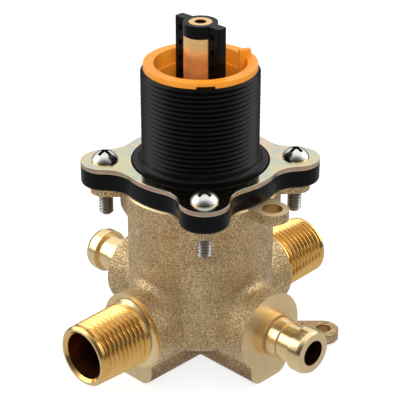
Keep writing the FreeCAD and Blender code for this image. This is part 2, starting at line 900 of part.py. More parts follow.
housing_radius = s.cavity_radius - s.housing_clearance
housing_bore_radius = housing_radius - s.housing_wall
moving_disc_radius = housing_bore_radius - s.moving_disc_gap
recess_outer_radius = moving_disc_radius - s.channel_wall
recess_inner_radius = recess_outer_radius - s.channel_width
inlet_well_offset = s.cavity_radius - s.inlet_well_margin
outlet_well_offset = s.cavity_radius - s.outlet_well_margin


# Cartridge

def port_seal(label, x, y, port_radius):
    """A moulded ring standing between the housing's recess and the cavity floor."""
    body = new_body(label)
    ring = sketch_on(body, f"{label}_ring", "XY_Plane", lift=s.cavity_floor)
    circle(ring, x, y, port_radius + s.seal_wall)
    circle(ring, x, y, port_radius)
    pad(body, ring, s.seal_gap + s.seal_recess)
    return body


def cartridge_housing():
    """A block with the ways and the balance bore, under a cup for the discs."""
    body = new_body("cartridge_housing")
    groove_top = housing_top - s.ring_groove_drop
    groove_bottom = groove_top - s.ring_groove_width
    profile = sketch_on(body, "housing_profile", "XZ_Plane")
    outline(profile, [
        (0, housing_bottom),
        (housing_radius, housing_bottom),
        (housing_radius, groove_bottom),
        (housing_radius - s.ring_groove_depth, groove_bottom),
        (housing_radius - s.ring_groove_depth, groove_top),
        (housing_radius, groove_top),
        (housing_radius, housing_top),
        (housing_bore_radius, housing_top),
        (housing_bore_radius, disc_seat),
        (0, disc_seat),
    ])
    revolve(body, profile)
    recesses = sketch_on(body, "seal_recesses", "XY_Plane", lift=housing_bottom)
    ways = sketch_on(body, "lower_ways", "XY_Plane", lift=housing_bottom)
    rise = s.seal_wall + s.seal_clearance
    for side in (1, -1):
        circle(recesses, inlet_well_offset * side, 0, s.inlet_well_radius + rise)
        circle(ways, inlet_well_offset * side, 0, s.inlet_well_radius)
    circle(recesses, 0, outlet_well_offset, s.outlet_well_radius + rise)
    pocket(body, recesses, s.seal_recess, Reversed=True)
    pocket(body, ways, s.spool_axis_rise, Reversed=True)
    outlet = sketch_on(body, "outlet_passage", "XY_Plane", lift=disc_seat)
    circle(outlet, 0, outlet_well_offset, s.outlet_well_radius)
    pocket(body, outlet, s.housing_block)
    upper = sketch_on(body, "upper_ways", "XY_Plane", lift=disc_seat)
    for side in (1, -1):
        circle(upper, s.disc_inlet_offset * side, 0, s.disc_inlet_radius)
    pocket(body, upper, s.housing_block - s.spool_axis_rise)
    bore = sketch_on(body, "balance_bore", "YZ_Plane", shift=spool_axis)
    circle(bore, 0, 0, s.sleeve_seat_radius)
    pocket(body, bore, s.cavity_radius * 2, Midplane=True)
    return body


def housing_o_ring():
    """A ring in the housing's groove, just short of the cavity wall."""
    section = (s.ring_groove_depth + s.housing_clearance - s.ring_clearance * 2) / 2
    ring = doc.addObject("Part::Torus", "housing_o_ring")
    bind(ring, "Radius1", s.cavity_radius - s.ring_clearance - section)
    bind(ring, "Radius2", section)
    bind(ring, "Placement.Base.z", housing_top - s.ring_groove_drop - s.ring_groove_width / 2)
    return ring


def balance_sleeve():
    """A tube along X with ports below for the inlets and above for the discs."""
    body = new_body("balance_sleeve")
    outer = s.sleeve_seat_radius - s.seat_clearance
    tube = sketch_on(body, "sleeve_tube", "YZ_Plane", shift=spool_axis)
    circle(tube, 0, 0, outer)
    circle(tube, 0, 0, outer - s.balance_sleeve_wall)
    pad(body, tube, s.balance_sleeve_half * 2, Midplane=True)
    rows = {"inlet": (s.sleeve_inlet_offset, False), "disc": (s.disc_inlet_offset, True)}
    for name, (offset, upward) in rows.items():
        ports = sketch_on(body, f"{name}_ports", "XY_Plane", lift=spool_axis)
        for side in (1, -1):
            circle(ports, offset * side, 0, s.sleeve_port_radius)
        pocket(body, ports, s.sleeve_seat_radius, Reversed=upward)
    return body


def balance_spool():
    """A spool of three lands that slides along X inside the sleeve."""
    land = s.sleeve_seat_radius - s.seat_clearance - s.balance_sleeve_wall - s.running_clearance
    inner = s.spool_half - s.spool_end_land
    right = [
        (s.spool_half, land),
        (inner, land),
        (inner, s.spool_waist_radius),
        (s.spool_middle_land, s.spool_waist_radius),
        (s.spool_middle_land, land),
    ]
    left = [(-along, radius) for along, radius in reversed(right)]
    points = [(s.spool_half, 0)] + right + left + [(-s.spool_half, 0)]
    return turned("balance_spool", points, "XZ_Plane", "H_Axis", shift=spool_axis)


def sleeve_plug(label, side):
    """A plug that closes one end of the balance bore, with a spigot in the sleeve."""
    outer = s.sleeve_seat_radius - s.seat_clearance
    spigot = outer - s.balance_sleeve_wall - s.seat_clearance
    points = [
        (s.balance_sleeve_half - s.plug_spigot_length, 0),
        (s.balance_sleeve_half - s.plug_spigot_length, spigot),
        (s.balance_sleeve_half, spigot),
        (s.balance_sleeve_half, outer),
        (s.balance_sleeve_half + s.plug_length, outer),
        (s.balance_sleeve_half + s.plug_length, 0),
    ]
    points = [(along * side, radius) for along, radius in points]
    return turned(label, points, "XZ_Plane", "H_Axis", shift=spool_axis)


def ported_disc(label, bottom, thickness):
    """A flat disc in the housing's cup with the two inlet ports and the outlet port."""
    body = new_body(label)
    disc = sketch_on(body, f"{label}_outline", "XY_Plane", lift=bottom)
    circle(disc, 0, 0, housing_bore_radius - s.disc_clearance)
    for side in (1, -1):
        circle(disc, s.disc_inlet_offset * side, 0, s.disc_inlet_radius)
    circle(disc, 0, outlet_well_offset, s.outlet_well_radius)
    pad(body, disc, thickness)
    return body


def moving_disc():
    """The turning disc: a ring channel and one slot below, two sockets for the carrier's pegs above."""
    body = new_body("moving_disc")
    disc = sketch_on(body, "moving_outline", "XY_Plane", lift=moving_disc_bottom)
    circle(disc, 0, 0, moving_disc_radius)
    pad(body, disc, s.moving_disc_thickness)
    channel = sketch_on(body, "disc_channel", "XY_Plane", lift=moving_disc_bottom)
    circle(channel, 0, 0, recess_outer_radius)
    circle(channel, 0, 0, recess_inner_radius)
    pocket(body, channel, s.disc_recess_depth, Reversed=True)
    slot = sketch_on(body, "disc_slot", "XY_Plane", lift=moving_disc_bottom)
    half = s.recess_slot_width / 2
    rectangle(slot, -half, -(recess_inner_radius + half / 2), half, -s.recess_slot_reach)
    pocket(body, slot, s.disc_recess_depth, Reversed=True)
    sockets = sketch_on(body, "peg_sockets", "XY_Plane", lift=carrier_bottom)
    for side in (1, -1):
        circle(sockets, s.peg_offset * side, 0, s.peg_radius + s.peg_clearance)
    pocket(body, sockets, s.peg_length + s.peg_clearance)
    return body


def disc_carrier():
    """A plate that turns the moving disc by two pegs and takes the stem's square tang."""
    body = new_body("disc_carrier")
    plate = sketch_on(body, "carrier_plate", "XY_Plane", lift=carrier_bottom)
    circle(plate, 0, 0, moving_disc_radius - s.carrier_gap)
    pad(body, plate, s.carrier_thickness)
    pegs = sketch_on(body, "carrier_pegs", "XY_Plane", lift=carrier_bottom)
    for side in (1, -1):
        circle(pegs, s.peg_offset * side, 0, s.peg_radius)
    pad(body, pegs, s.peg_length, Reversed=True)
    square = sketch_on(body, "tang_hole", "XY_Plane", lift=stem_flange_bottom)
    half = s.tang_width / 2 + s.tang_clearance
    rectangle(square, -half, -half, half, half)
    pocket(body, square, s.carrier_thickness)
    return body


def thrust_washer():
    return turned("thrust_washer", [
        (s.stem_radius + s.washer_clearance, washer_bottom),
        (s.stem_flange_radius, washer_bottom),
        (s.stem_flange_radius, cap_bottom),
        (s.stem_radius + s.washer_clearance, cap_bottom),
    ])


def cartridge_cap():
    bore = s.stem_radius + s.running_clearance
    return turned("cartridge_cap", [
        (bore, cap_bottom),
        (housing_bore_radius - s.disc_clearance, cap_bottom),
        (housing_bore_radius - s.disc_clearance, housing_top),
        (s.cap_neck_radius, housing_top),
        (s.cap_neck_radius, housing_top + s.cap_neck_length),
        (bore, housing_top + s.cap_neck_length),
    ])


# Stem

def stem_groove_bottom(number):
    """Height of the lower edge of one O-ring groove on the stem."""
    return cap_bottom + s.stem_groove_offset + s.stem_groove_spacing * number


def stem_core():
    """The brass stem: square tang, thrust flange, grooved shaft and a core tapped for the handle screw."""
    body = new_body("stem_core")
    flange_top = stem_flange_bottom + s.stem_flange_thickness
    shoulder = s.stem_top - s.cap_ring_height
    points = [
        (0, stem_flange_bottom),
        (s.stem_flange_radius, stem_flange_bottom),
        (s.stem_flange_radius, flange_top),
        (s.stem_radius, flange_top),
    ]
    for number in range(2):
        low = stem_groove_bottom(number)
        high = low + s.stem_groove_width
        points += [(s.stem_radius, low), (s.stem_groove_radius, low)]
        points += [(s.stem_groove_radius, high), (s.stem_radius, high)]
    points += [
        (s.stem_radius, shaft_top),
        (s.core_radius, shaft_top),
        (s.core_radius, shoulder),
        (s.core_top_radius, shoulder),
        (s.core_top_radius, s.stem_top),
        (s.handle_screw_radius, s.stem_top),
        (s.handle_screw_radius, s.stem_top - s.handle_screw_depth),
        (0, s.stem_top - s.handle_screw_depth),
    ]
    profile = sketch_on(body, "stem_profile", "XZ_Plane")
    outline(profile, points)
    revolve(body, profile)
    tang = sketch_on(body, "stem_tang", "XY_Plane", lift=stem_flange_bottom)
    half = s.tang_width / 2
    rectangle(tang, -half, -half, half, half)
    pad(body, tang, s.tang_length, Reversed=True)
    return body


def stem_o_ring(label, number):
    section = (s.stem_radius - s.stem_groove_radius) / 2
    ring = doc.addObject("Part::Torus", label)
    bind(ring, "Radius1", s.stem_groove_radius + section)
    bind(ring, "Radius2", section)
    bind(ring, "Placement.Base.z", stem_groove_bottom(number) + s.stem_groove_width / 2)
    return ring


def stem_wings():
    """The moulding on the stem: two wings, a ring at the top, a hub and the stop finger below."""
    body = new_body("stem_wings")
    hub = sketch_on(body, "wing_hub", "XY_Plane", lift=shaft_top)
    circle(hub, 0, 0, s.hub_radius)
    pad(body, hub, s.hub_top - shaft_top)
    wing = sketch_on(body, "wing", "XY_Plane", lift=shaft_top)
    half = s.wing_thickness / 2
    rectangle(wing, -s.wing_half_length, -half, s.wing_half_length, half)
    pad(body, wing, s.stem_top - shaft_top)

    def at_the_tips(edge):
        return is_upright(edge) and abs(middle_of(edge).x) > s.wing_half_length.value - PROBE

    blend(body, "wing_corners", s.wing_corner, at_the_tips)
    wing_pockets(body)
    ring = sketch_on(body, "cap_ring", "XY_Plane", lift=s.stem_top - s.cap_ring_height)
    circle(ring, 0, 0, s.cap_ring_radius)
    pad(body, ring, s.cap_ring_height)
    finger = sketch_on(body, "stop_finger", "XY_Plane", turn=STOP_FINGER_ANGLE,
                       lift=s.hub_top - s.stop_finger_height)
    width = s.stop_finger_width / 2
    rectangle(finger, s.core_radius, -width, stop_finger_reach, width)
    pad(body, finger, s.stop_finger_height)
    bore = sketch_on(body, "core_bore", "XZ_Plane")
    shoulder = s.stem_top - s.cap_ring_height
    outline(bore, [
        (0, shaft_top),
        (s.core_radius, shaft_top),
        (s.core_radius, shoulder),
        (s.core_top_radius, shoulder),
        (s.core_top_radius, s.stem_top),
        (0, s.stem_top),
    ])
    groove(body, bore)
    return body


def wing_pockets(body):
    """Rows of small pockets down both faces of the wings."""
    half = s.wing_thickness / 2
    wide = s.wing_pocket_width / 2
    for face, name in ((1, "back_pockets"), (-1, "front_pockets")):
        pockets = sketch_on(body, name, "XZ_Plane", lift=half * -face)
        for number in range(WING_POCKET_COUNT):
            top = s.stem_top - s.wing_pocket_drop - s.wing_pocket_spacing * number
            for side in (1, -1):
                middle = s.wing_pocket_offset * side
                rectangle(pockets, middle - wide, top - s.wing_pocket_height, middle + wide, top)
        pocket(body, pockets, s.wing_pocket_depth, Reversed=face > 0)


def limit_ring():
    """The temperature limit ring: a rim on the sleeve's end, a stepped skirt and the stop fin."""
    body = new_body("limit_ring")
    top = s.sleeve_top + s.limit_rim_thickness
    profile = sketch_on(body, "limit_profile", "XZ_Plane")
    outline(profile, [
        (s.limit_step_radius, s.sleeve_top - s.limit_skirt_depth),
        (limit_skirt_radius, s.sleeve_top - s.limit_skirt_depth),
        (limit_skirt_radius, s.sleeve_top),
        (limit_ring_radius, s.sleeve_top),
        (limit_ring_radius, top),
        (limit_bore_radius, top),
        (limit_bore_radius, top - s.limit_step_depth),
        (s.limit_step_radius, top - s.limit_step_depth),
    ])
    revolve(body, profile)
    tab = sketch_on(body, "stop_tab", "XY_Plane", turn=STOP_TAB_ANGLE,
                    lift=s.sleeve_top - s.limit_skirt_depth)
    width = s.limit_tab_width / 2
    rectangle(tab, limit_tab_reach, -width, limit_skirt_radius - s.limit_skirt_clearance, width)
    pad(body, tab, s.limit_skirt_depth)
    grip = sketch_on(body, "tab_grip", "XY_Plane", turn=STOP_TAB_ANGLE, lift=s.sleeve_top)
    rectangle(grip, limit_tab_reach, -width, limit_tab_reach + s.limit_grip_length, width)
    pad(body, grip, s.limit_rim_thickness + s.limit_tab_rise)
    notch = sketch_on(body, "rim_notch", "XY_Plane", turn=NOTCH_ANGLE, lift=s.sleeve_top)
    half = s.limit_notch_width / 2
    rectangle(notch, sleeve_bore_radius, -half, limit_ring_radius + half, half)
    pocket(body, notch, s.limit_notch_height, Reversed=True)
    return body


def build():
    return [
        valve_body(),
        port_seal("cold_inlet_seal", inlet_well_offset, 0, s.inlet_well_radius),
        port_seal("hot_inlet_seal", -inlet_well_offset, 0, s.inlet_well_radius),
        port_seal("outlet_seal", 0, outlet_well_offset, s.outlet_well_radius),
        cartridge_housing(),
        housing_o_ring(),
        balance_sleeve(),
        balance_spool(),
        sleeve_plug("cold_sleeve_plug", 1),
        sleeve_plug("hot_sleeve_plug", -1),
        ported_disc("disc_gasket", disc_seat, s.gasket_thickness),
        ported_disc("fixed_disc", fixed_disc_bottom, s.fixed_disc_thickness),
        moving_disc(),
        disc_carrier(),
        thrust_washer(),
        cartridge_cap(),
        stem_core(),
        stem_o_ring("lower_stem_o_ring", 0),
        stem_o_ring("upper_stem_o_ring", 1),
        stem_wings(),
        bonnet(),
        retainer_plate(),
        cover_screws(),
        limit_ring(),
    ]


def check(pieces):
    for item in doc.Objects:
        if "Invalid" in item.State or "Error" in item.State:
            raise RuntimeError(f"{item.Name} is in state {item.State}")
    for piece in pieces:
        if piece.Shape.isNull() or not piece.Shape.isValid():
            raise RuntimeError(f"{piece.Label} has no valid shape")


pieces = build()
doc.recompute()
check(pieces)
os.makedirs("parts", exist_ok=True)
for piece in pieces:
    piece.Shape.exportStep(f"parts/{piece.Label}.step")
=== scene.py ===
"""Looks of a tub and shower rough-in valve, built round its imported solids. Lengths are in metres."""

import json
import math

import bmesh
import bpy
from mathutils import Matrix, Vector


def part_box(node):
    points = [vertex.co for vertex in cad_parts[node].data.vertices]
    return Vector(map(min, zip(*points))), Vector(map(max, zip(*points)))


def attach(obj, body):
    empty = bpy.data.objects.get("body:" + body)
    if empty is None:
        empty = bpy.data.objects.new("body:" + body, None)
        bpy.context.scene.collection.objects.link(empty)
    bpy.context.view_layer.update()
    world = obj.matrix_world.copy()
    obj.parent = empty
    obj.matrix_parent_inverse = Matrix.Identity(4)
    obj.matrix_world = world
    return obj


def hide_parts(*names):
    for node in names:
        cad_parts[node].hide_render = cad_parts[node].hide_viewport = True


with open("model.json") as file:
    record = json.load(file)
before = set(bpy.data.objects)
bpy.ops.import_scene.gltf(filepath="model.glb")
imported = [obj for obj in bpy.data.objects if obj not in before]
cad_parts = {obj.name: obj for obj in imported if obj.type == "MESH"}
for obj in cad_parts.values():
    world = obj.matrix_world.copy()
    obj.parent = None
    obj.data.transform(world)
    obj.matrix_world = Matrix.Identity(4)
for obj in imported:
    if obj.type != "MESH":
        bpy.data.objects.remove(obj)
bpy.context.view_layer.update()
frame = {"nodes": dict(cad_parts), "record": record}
nodes = frame["nodes"]
mounts = {mount["name"]: mount for mount in frame["record"]["mounts"]}
scene = bpy.context.scene

MM = 0.001

# Places and sizes read from the frame

PORT_HEIGHT = mounts["tub_socket"]["pos_m"][2]
SOCKET_RADIUS = mounts["tub_socket"]["dims"]["r_mm"] * MM
RIM_TOP = mounts["fixing_ears"]["pos_m"][2]
EAR_CIRCLE = mounts["fixing_ears"]["dims"]["pcd_mm"] / 2 * MM
EAR_HOLE = mounts["fixing_ears"]["dims"]["hole_r_mm"] * MM
LOWER_EAR = Vector(mounts["lower_ear"]["pos_m"])
LOWER_EAR_HOLE = mounts["lower_ear"]["dims"]["r_mm"] * MM
LOWER_EAR_HALF = mounts["lower_ear"]["dims"]["length_mm"] / 2 * MM
STEM_HOLE = mounts["handle_screw"]["dims"]["r_mm"] * MM
SCREW_TIP, SCREW_TOP = (corner.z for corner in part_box("cover_screws"))
PLATE_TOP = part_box("retainer_plate")[1].z

# Sizes of the solids that the frame doesn't state

HEAD_TURN = math.radians(2)
OUTLET_FACE = 32.0 * MM
INLET_FACE = 32.6 * MM
INLET_BORE = 4.4 * MM
PORT_REACH = 20.0 * MM
RIM_RADIUS = 26.8 * MM
RIM_EDGE = 0.5 * MM
CAVITY_RADIUS = 20.9 * MM
CAVITY_FLOOR = 29.9 * MM
LOWER_EAR_REACH = 13.0 * MM
SCREW_COUNT = 4
SCREW_ANGLE = math.radians(45) + HEAD_TURN
SCREW_CIRCLE = 31.5 * MM
SCREW_POINT = 0.8 * MM
DOME_RADIUS = 5.02 * MM
RECESS_REACH = 3.0 * MM

# Threads. Each wall gives the least and the largest radius of what the thread is cut into.

PIPE_START = 34.7 * MM
PIPE_PITCH = 1.814 * MM
PIPE_CREST = 0.25 * MM
PIPE_DEPTH = 0.95 * MM
PIPE_TURNS = 10
PIPE_WALL = (9.4 * MM, 11.3 * MM)
PIPE_COLUMNS = 96
SCREW_PITCH = 1.058 * MM
SCREW_DEPTH = 0.6 * MM
SCREW_WALL = (2.3 * MM, 2.5 * MM)
SCREW_COLUMNS = 36
CREST_FLAT = 0.12
ROOT_FLAT = 0.10
RUN_OUT_TURNS = 0.6
STEPS_PER_TURN = 14

# Edge rounds

CAST_ROUND = 0.5 * MM
PLATE_ROUND = 0.3 * MM
STEM_ROUND = 0.15 * MM
RING_ROUND = 0.2 * MM
SLEEVE_ROUND = 0.15 * MM
MOULDING_ROUND = 0.2 * MM
ROUND_SEGMENTS = 2

# Finish

# Height over which the painted shade at the feet fades out
PAINTED_SHADE_HEIGHT = 10.0 * MM
RECESS_LIP = 0.12 * MM
NOISE_LOW, NOISE_HIGH = 0.3, 0.7
MIX_SHARE, MIX_FIRST, MIX_SECOND, MIX_RESULT = 0, 6, 7, 2
WHITE = (1, 1, 1, 1)
BLACK = (0, 0, 0, 1)

# Camera, as fitted to the photograph

AZIMUTH = math.radians(44.76)
ELEVATION = math.radians(26.73)
DISTANCE = 497.27 * MM
TARGET = Vector((-0.12, -0.11, 55.72)) * MM
LENS_MM = 133.72
SENSOR_MM = 36.0
CLIP_START = 0.01

# Stage

FLOOR_HALF = 4.0
WALL_RADIUS = 3.9
WALL_HEIGHT = 6.0
WALL_SEGMENTS = 64
LIGHT_TARGET = Vector((0, 0, 0.05))

# Mesh tolerances. The last two are a cosine and a sine.

WELD = 0.001 * MM
NEAR = 0.02 * MM
FLAT = math.radians(0.4)
SHARP = math.radians(32)
SQUARE_ON = 1 - 2e-5
UPRIGHT = 0.2


# Mesh helpers

def welded_copy(node):
    """A mesh to work on: the node's faces joined at their edges, with each flat area as one face."""
    source = nodes[node].data
    copy = bpy.data.meshes.new("copy")
    copy.from_pydata([v.co for v in source.vertices], [], [tuple(p.vertices) for p in source.polygons])
    mesh = bmesh.new()
    mesh.from_mesh(copy)
    bpy.data.meshes.remove(copy)
    bmesh.ops.remove_doubles(mesh, verts=mesh.verts, dist=WELD)
    bmesh.ops.dissolve_limit(mesh, angle_limit=FLAT, verts=mesh.verts, edges=mesh.edges)
    return mesh


def round_edges(mesh, width, chosen=lambda edge: True):
    """Rounds the sharp edges that chosen accepts, and welds the rounds where two of them meet."""
    edges = [
        edge for edge in mesh.edges
        if len(edge.link_faces) == 2 and edge.calc_face_angle() > SHARP and chosen(edge)
    ]
    bmesh.ops.bevel(
        mesh, geom=edges, offset=width, offset_type="OFFSET", segments=ROUND_SEGMENTS, profile=0.5,
        affect="EDGES", clamp_overlap=True,
    )
    bmesh.ops.remove_doubles(mesh, verts=mesh.verts, dist=WELD)


def middle(face):
    return sum((vert.co for vert in face.verts), Vector()) / len(face.verts)


def make_piece(name, mesh, body, materials, replaced):
    """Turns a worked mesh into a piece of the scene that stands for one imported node."""
    data = bpy.data.meshes.new(name)
    mesh.to_mesh(data)
    mesh.free()
    data.polygons.foreach_set("use_smooth", [True] * len(data.polygons))
    data.set_sharp_from_angle(angle=SHARP)
    for material in materials:
        data.materials.append(material)
    piece = bpy.data.objects.new(name, data)
    scene.collection.objects.link(piece)
    even = piece.modifiers.new("even_normals", "WEIGHTED_NORMAL")
    even.keep_sharp = True
    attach(piece, body)
    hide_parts(replaced)


# Threads

def thread_share(turn):
    """Share of the full depth at a place along one turn: 0 on the crest, 1 in the root."""
    away = abs(turn % 1.0 - 0.5) * 2
    return min(max((away - CREST_FLAT) / (1 - CREST_FLAT - ROOT_FLAT), 0.0), 1.0)


def ring_edges(mesh, ring):
    return [mesh.edges.get(pair) for pair in zip(ring, ring[1:] + ring[:1])]


def cut_thread(mesh, axis, start, end, wall, pitch, depth, columns):
    """Swaps the round wall between two stations for a right hand thread that runs out at both.

    axis carries the thread's own frame, with the thread along Z, into the part's frame.
    """
    back = axis.inverted()

    def on_wall(place):
        return start - NEAR < place.z < end + NEAR and wall[0] < place.xy.length < wall[1]

    old = [face for face in mesh.faces if all(on_wall(back @ vert.co) for vert in face.verts)]
    finish = old[0].material_index
    bmesh.ops.delete(mesh, geom=old, context="FACES")

    def open_rim(station):
        """The points that are left at a station, in order round the axis, and their radius."""
        places = [(back @ vert.co, vert) for vert in mesh.verts if vert.is_boundary]
        ring = [
            (math.atan2(place.y, place.x), place, vert) for place, vert in places
            if on_wall(place) and abs(place.z - station) < NEAR
        ]
        ring.sort(key=lambda entry: entry[0])
        return [vert for _, _, vert in ring], ring[0][1].xy.length

    low_rim, low_radius = open_rim(start)
    high_rim, high_radius = open_rim(end)
    steps = round((end - start) / pitch * STEPS_PER_TURN)
    rings = []
    for step in range(1, steps):
        along = step / steps
        height = start + (end - start) * along
        run = min(height - start, end - height) / pitch
        fade = min(run / RUN_OUT_TURNS, 1.0)
        plain = low_radius + (high_radius - low_radius) * along
        ring = []
        for column in range(columns):
            angle = -math.pi + 2 * math.pi * column / columns
            turn = height / pitch - angle / (2 * math.pi)
            radius = plain - depth * fade * thread_share(turn)
            place = Vector((radius * math.cos(angle), radius * math.sin(angle), height))
            ring.append(mesh.verts.new(axis @ place))
        rings.append(ring)
    made = []
    for below, above in zip(rings, rings[1:]):
        for column in range(columns):
            beside = (column + 1) % columns
            made.append(mesh.faces.new((below[column], below[beside], above[beside], above[column])))
    for rim, ring in ((low_rim, rings[0]), (high_rim, rings[-1])):
        edges = ring_edges(mesh, rim) + ring_edges(mesh, ring)
        made += bmesh.ops.bridge_loops(mesh, edges=edges)["faces"]
    for face in made:
        face.material_index = finish
    bmesh.ops.recalc_face_normals(mesh, faces=mesh.faces)


# Material helpers

def new_material(name):
    """A material with only a shader, and the part's own coordinates to feed its textures."""
    material = bpy.data.materials.new(name)
    material.use_nodes = True
    tree = material.node_tree
    place = tree.nodes.new("ShaderNodeTexCoord").outputs["Object"]
    return material, tree, tree.nodes["Principled BSDF"], place


def noise(tree, place, size, detail, roughness=0.55):
    """A value from 0 to 1 that varies over about the given size."""
    texture = tree.nodes.new("ShaderNodeTexNoise")
    texture.inputs["Scale"].default_value = 1 / size
    texture.inputs["Detail"].default_value = detail
    texture.inputs["Roughness"].default_value = roughness
    tree.links.new(place, texture.inputs["Vector"])
    return texture.outputs["Fac"]


def ramp(tree, value, stops):
    """A colour, or a grey level, read from a row of stops."""
    node = tree.nodes.new("ShaderNodeValToRGB")
    elements = node.color_ramp.elements
    while len(elements) < len(stops):
        elements.new(0.5)
    for element, (position, colour) in zip(elements, stops):
        element.position = position
        element.color = (*colour, 1) if isinstance(colour, tuple) else (colour, colour, colour, 1)
    tree.links.new(value, node.inputs["Fac"])
    return node.outputs["Color"]


def vary(tree, value, low, high):
    """A colour, or a grey level, that follows a noise over the range that it mostly keeps to."""
    return ramp(tree, value, [(NOISE_LOW, low), (NOISE_HIGH, high)])


def mix(tree, share, first, second, blend="MIX"):
    """Two colours mixed. Each input is a number, a colour or a value."""
    node = tree.nodes.new("ShaderNodeMix")
    node.data_type = "RGBA"
    node.blend_type = blend
    for number, value in ((MIX_SHARE, share), (MIX_FIRST, first), (MIX_SECOND, second)):
        if isinstance(value, bpy.types.NodeSocket):
            tree.links.new(value, node.inputs[number])
        else:
            node.inputs[number].default_value = value
    return node.outputs[MIX_RESULT]


def bump(tree, shader, height, distance, under=None):
    """A fine relief on the shader's normal, on top of another where one is given."""
    node = tree.nodes.new("ShaderNodeBump")
    node.inputs["Strength"].default_value = 1.0
    node.inputs["Distance"].default_value = distance
    tree.links.new(height, node.inputs["Height"])
    if under:
        tree.links.new(under, node.inputs["Normal"])
    tree.links.new(node.outputs["Normal"], shader.inputs["Normal"])
    return node.outputs["Normal"]


# Materials

def painted_foot_shade(tree, place):
    """Painted shade at the feet: a brown darkening at the floor that fades to none at the painted shade's
    height.
    """
    axes = tree.nodes.new("ShaderNodeSeparateXYZ")
    tree.links.new(place, axes.inputs["Vector"])
    rise = tree.nodes.new("ShaderNodeMapRange")
    rise.inputs["From Max"].default_value = PAINTED_SHADE_HEIGHT
    tree.links.new(axes.outputs["Z"], rise.inputs["Value"])
    return ramp(tree, rise.outputs["Result"], [
        (0.0, (0.22, 0.17, 0.12)),
        (0.5, (0.58, 0.52, 0.45)),
        (1.0, 1.0),
    ])


def sand_cast_brass(name, with_painted_shade):
    """Brass as cast in sand: dull tan skin, grainy, with bright specks where the metal shows, and painted
    shade towards the floor where asked.
    """
    material, tree, shader, place = new_material(name)
    patches = noise(tree, place, 8 * MM, 4)
    colour = vary(tree, patches, (0.50, 0.350, 0.173), (0.715, 0.515, 0.280))
    # Painted shade: the casting is darkened towards the floor, where the feet get little light
    if with_painted_shade:
        colour = mix(tree, 1.0, colour, painted_foot_shade(tree, place), "MULTIPLY")
    grain = noise(tree, place, 0.5 * MM, 2, roughness=0.5)
    speckle = ramp(tree, grain, [(0.34, 0.42), (0.50, 0.92), (0.64, 1.60)])
    tree.links.new(mix(tree, 1.0, colour, speckle, "MULTIPLY"), shader.inputs["Base Color"])
    tree.links.new(ramp(tree, grain, [(0.40, 0.45), (0.60, 0.92)]), shader.inputs["Metallic"])
    tree.links.new(vary(tree, grain, 0.55, 0.30), shader.inputs["Roughness"])
    lumps = bump(tree, shader, noise(tree, place, 2.2 * MM, 2), 0.25 * MM)
    bump(tree, shader, grain, 0.34 * MM, under=lumps)
    return material


def yellow_zinc():
    """Yellow passivated zinc plate: straw, with green, pink and blue tints that drift over the sheet."""
    material, tree, shader, place = new_material("yellow_zinc")
    drift = noise(tree, place, 16 * MM, 3, roughness=0.6)
    colour = ramp(tree, drift, [
        (0.30, (0.80, 0.66, 0.42)),
        (0.42, (0.76, 0.71, 0.46)),
        (0.50, (0.62, 0.66, 0.56)),
        (0.58, (0.84, 0.68, 0.49)),
        (0.68, (0.84, 0.60, 0.51)),
    ])
    tree.links.new(colour, shader.inputs["Base Color"])
    haze = noise(tree, place, 1.4 * MM, 4)
    tree.links.new(vary(tree, haze, 0.10, 0.18), shader.inputs["Roughness"])
    shader.inputs["Metallic"].default_value = 1.0
    bump(tree, shader, haze, 0.006 * MM)
    return material


def mottled(name, light, dark, roughness, tone_size, tone_detail, grain_size, relief):
    """A material that drifts between two tones, with a fine grain in its gloss and relief."""
    material, tree, shader, place = new_material(name)
    tone = noise(tree, place, tone_size, tone_detail)
    tree.links.new(vary(tree, tone, dark, light), shader.inputs["Base Color"])
    grain = noise(tree, place, grain_size, 2)
    tree.links.new(vary(tree, grain, *roughness), shader.inputs["Roughness"])
    bump(tree, shader, grain, relief)
    return material, shader


def machined_metal(name, light, dark, roughness, metallic=1.0):
    """Bare or plated metal with faint clouding and fine tool marks."""
    material, shader = mottled(name, light, dark, roughness, 6 * MM, 3, 0.3 * MM, 0.0012 * MM)
    shader.inputs["Metallic"].default_value = metallic
    return material


def satin_plastic(name, light, dark, roughness, specular=0.5):
    """Moulded plastic, rubber or ceramic with slight mottling and a fine satin grain."""
    material, shader = mottled(name, light, dark, roughness, 5 * MM, 4, 0.22 * MM, 0.012 * MM)
    shader.inputs["Specular IOR Level"].default_value = specular
    return material


# Each row: light tone, dark tone, range of roughness and, where it isn't the usual one, the metallic share
METALS = {
    "turned_brass": ((0.95, 0.60, 0.20), (0.87, 0.51, 0.15), (0.20, 0.26), 0.95),
    "barb_brass": ((0.98, 0.75, 0.41), (0.94, 0.70, 0.36), (0.19, 0.24), 0.95),
    "faced_brass": ((0.84, 0.65, 0.38), (0.76, 0.57, 0.31), (0.34, 0.44), 0.7),
    # The bore brass is darkened as painted shade inside bores and holes
    "bore_brass_painted_shade": ((0.52, 0.30, 0.100), (0.40, 0.22, 0.065), (0.28, 0.36)),
    "stem_brass": ((1.00, 0.68, 0.30), (0.98, 0.63, 0.26), (0.24, 0.28), 0.8),
    "plate_edge": ((0.66, 0.46, 0.33), (0.52, 0.36, 0.27), (0.24, 0.36)),
    "screw_steel": ((0.84, 0.82, 0.79), (0.76, 0.74, 0.71), (0.20, 0.28)),
    "screw_shank": ((0.46, 0.44, 0.42), (0.36, 0.34, 0.32), (0.26, 0.38)),
    # The recess steel is darkened as painted shade
    "screw_recess": ((0.24, 0.23, 0.22), (0.16, 0.15, 0.14), (0.30, 0.40)),
    "balance_steel": ((0.66, 0.66, 0.68), (0.58, 0.58, 0.60), (0.18, 0.28)),
}

